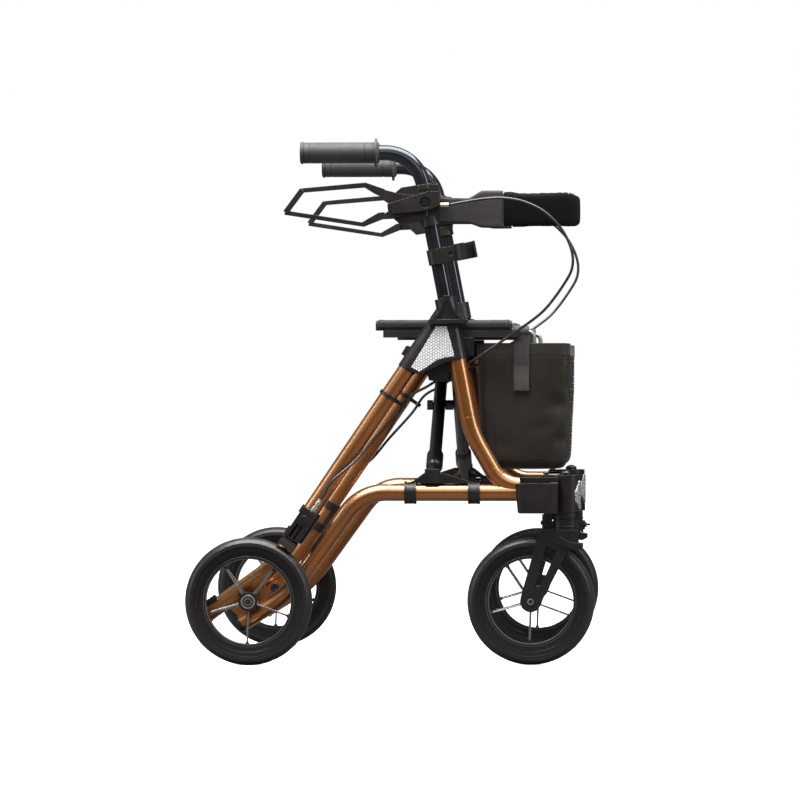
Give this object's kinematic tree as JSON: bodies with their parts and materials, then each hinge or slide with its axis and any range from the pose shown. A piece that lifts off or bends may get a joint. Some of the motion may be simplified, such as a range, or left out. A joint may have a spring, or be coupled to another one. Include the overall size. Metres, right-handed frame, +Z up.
{
  "type": "rollator walker",
  "caption": "Folding four-wheel rollator: tubular side frames, X brace, sling seat, bag, backrest belt, telescopic handles with loop brake levers.",
  "frame": {"origin": "on the floor below the middle of the bounding box", "axes": "+X forward, +Y to the walker's left, +Z up"},
  "size_m": [0.6408, 0.61, 0.8256],
  "materials": {
    "frame_bronze": "metallic bronze-copper paint, satin gloss",
    "zinc_steel": "bright zinc-plated steel",
    "reflector": "silver prismatic reflector",
    "black_plastic": "satin black moulded plastic",
    "fork_alloy": "satin dark grey painted alloy",
    "black_tube": "black powder coat",
    "gloss_black_tube": "gloss black anodised tube",
    "rail_plastic": "black profile with a fabric-wrapped top",
    "grip_rubber": "soft black grip rubber",
    "shoe": "hard brake rubber",
    "cable": "black cable sheath",
    "black_fabric": "coated black nylon weave",
    "belt_fabric": "dark grey padded webbing",
    "tyre": "dark polyurethane tyre",
    "rim_plastic": "dark rim with bright spokes"
  },
  "bodies": {
    "right_frame": {"r_side_frame": "frame_bronze", "r_hub_housing": "black_plastic", "r_reflectors": "reflector", "r_caster_head": "black_plastic", "r_brace_saddle": "black_plastic", "r_frame_hardware": "zinc_steel", "r_tube_caps": "black_plastic", "r_brake_body": "black_plastic", "r_brake_cable": "cable", "cane_cup": "black_plastic"},
    "brace_a": {"brace_a_tube": "black_tube", "brace_pivot_bolt": "zinc_steel"},
    "brace_b": {"brace_b_tube": "black_tube"},
    "left_frame": {"l_side_frame": "frame_bronze", "l_hub_housing": "black_plastic", "l_reflectors": "reflector", "l_caster_head": "black_plastic", "l_brace_saddle": "black_plastic", "l_frame_hardware": "zinc_steel", "l_tube_caps": "black_plastic", "l_brake_body": "black_plastic", "l_brake_cable": "cable"},
    "left_rail": {"l_seat_rail": "rail_plastic", "l_rail_pin": "zinc_steel"},
    "right_rail": {"r_seat_rail": "rail_plastic", "r_rail_pin": "zinc_steel", "seat_sling": "black_fabric", "bag": "black_fabric"},
    "right_handle": {"r_handle_tube": "gloss_black_tube", "r_grip": "grip_rubber", "r_lever_mount": "black_plastic", "r_lever_fittings": "zinc_steel", "cane_clip": "black_plastic", "backrest_belt": "belt_fabric"},
    "left_handle": {"l_handle_tube": "gloss_black_tube", "l_grip": "grip_rubber", "l_lever_mount": "black_plastic", "l_lever_fittings": "zinc_steel"},
    "right_lever": {"r_brake_lever": "black_plastic"},
    "left_lever": {"l_brake_lever": "black_plastic"},
    "right_release": {"r_release_flap": "black_plastic"},
    "left_release": {"l_release_flap": "black_plastic"},
    "right_shoe": {"r_brake_shoe": "shoe"},
    "left_shoe": {"l_brake_shoe": "shoe"},
    "right_fork": {"r_fork": "fork_alloy", "r_front_axle": "zinc_steel"},
    "left_fork": {"l_fork": "fork_alloy", "l_front_axle": "zinc_steel"},
    "rear_right_wheel": {"rr_tyre": "tyre", "rr_rim": "rim_plastic", "rr_bearings": "zinc_steel"},
    "rear_left_wheel": {"lr_tyre": "tyre", "lr_rim": "rim_plastic", "lr_bearings": "zinc_steel"},
    "front_right_wheel": {"rf_tyre": "tyre", "rf_rim": "rim_plastic", "rf_bearings": "zinc_steel"},
    "front_left_wheel": {"lf_tyre": "tyre", "lf_rim": "rim_plastic", "lf_bearings": "zinc_steel"}
  },
  "joints": [
    {"name": "fold", "type": "hinge", "parent": "right_frame", "child": "brace_a", "pos_m": [0.0655, -0.223, 0.285], "axis": [1, 0, 0], "range_deg": [0, 51], "deforming": ["seat_sling", "bag", "backrest_belt"]},
    {"name": "cross_pivot", "type": "hinge", "parent": "brace_a", "child": "brace_b", "pos_m": [0.082, 0, 0.4063], "axis": [1, 0, 0], "range_deg": [-102, 0]},
    {"name": "left_frame_hinge", "type": "hinge", "parent": "brace_b", "child": "left_frame", "pos_m": [0.0985, 0.223, 0.285], "axis": [1, 0, 0], "range_deg": [0, 51]},
    {"name": "left_rail_hinge", "type": "hinge", "parent": "brace_a", "child": "left_rail", "pos_m": [0.0655, 0.212, 0.52162], "axis": [1, 0, 0], "range_deg": [-51, 0]},
    {"name": "right_rail_hinge", "type": "hinge", "parent": "brace_b", "child": "right_rail", "pos_m": [0.0985, -0.212, 0.52162], "axis": [1, 0, 0], "range_deg": [0, 51]},
    {"name": "right_handle_height", "type": "slide", "parent": "right_frame", "child": "right_handle", "axis": [-0.1908, 0, 0.9816], "range_m": [-0.03, 0.07], "deforming": ["r_brake_cable", "l_brake_cable"]},
    {"name": "left_handle_height", "type": "slide", "parent": "left_frame", "child": "left_handle", "axis": [-0.1908, 0, 0.9816], "range_m": [-0.03, 0.07]},
    {"name": "right_brake_lever", "type": "hinge", "parent": "right_handle", "child": "right_lever", "pos_m": [0.0556, -0.265, 0.7242], "axis": [0, 1, 0], "range_deg": [0, 10]},
    {"name": "left_brake_lever", "type": "hinge", "parent": "left_handle", "child": "left_lever", "pos_m": [0.0556, 0.265, 0.7242], "axis": [0, 1, 0], "range_deg": [0, 10]},
    {"name": "right_brake_shoe", "type": "slide", "parent": "right_frame", "child": "right_shoe", "axis": [-0.5606, 0, -0.8281], "range_m": [0, 0.0025]},
    {"name": "left_brake_shoe", "type": "slide", "parent": "left_frame", "child": "left_shoe", "axis": [-0.5606, 0, -0.8281], "range_m": [0, 0.0025]},
    {"name": "right_height_release", "type": "hinge", "parent": "right_frame", "child": "right_release", "pos_m": [0.092, -0.27, 0.537], "axis": [1, 0, 0], "range_deg": [0, 80]},
    {"name": "left_height_release", "type": "hinge", "parent": "left_frame", "child": "left_release", "pos_m": [0.092, 0.27, 0.537], "axis": [-1, 0, 0], "range_deg": [0, 80]},
    {"name": "right_caster", "type": "hinge", "parent": "right_frame", "child": "right_fork", "pos_m": [0.2747, -0.25, 0.25], "axis": [0, 0, 1], "continuous": true},
    {"name": "left_caster", "type": "hinge", "parent": "left_frame", "child": "left_fork", "pos_m": [0.2747, 0.25, 0.25], "axis": [0, 0, 1], "continuous": true},
    {"name": "rear_right_spin", "type": "hinge", "parent": "right_frame", "child": "rear_right_wheel", "pos_m": [-0.2204, -0.285, 0.1], "axis": [0, 1, 0], "continuous": true},
    {"name": "rear_left_spin", "type": "hinge", "parent": "left_frame", "child": "rear_left_wheel", "pos_m": [-0.2204, 0.285, 0.1], "axis": [0, 1, 0], "continuous": true},
    {"name": "front_right_spin", "type": "hinge", "parent": "right_fork", "child": "front_right_wheel", "pos_m": [0.2204, -0.25, 0.1], "axis": [0, 1, 0], "continuous": true},
    {"name": "front_left_spin", "type": "hinge", "parent": "left_fork", "child": "front_left_wheel", "pos_m": [0.2204, 0.25, 0.1], "axis": [0, 1, 0], "continuous": true}
  ],
  "couplings": [
    {"joint": "cross_pivot", "follows": "fold", "ratio": -2},
    {"joint": "left_frame_hinge", "follows": "fold", "ratio": 1},
    {"joint": "left_rail_hinge", "follows": "fold", "ratio": -1},
    {"joint": "right_rail_hinge", "follows": "fold", "ratio": 1},
    {"joint": "left_handle_height", "follows": "right_handle_height", "ratio": 1},
    {"joint": "right_brake_shoe", "follows": "right_brake_lever", "m_per_rad": 0.0143},
    {"joint": "left_brake_shoe", "follows": "left_brake_lever", "m_per_rad": 0.0143}
  ]
}
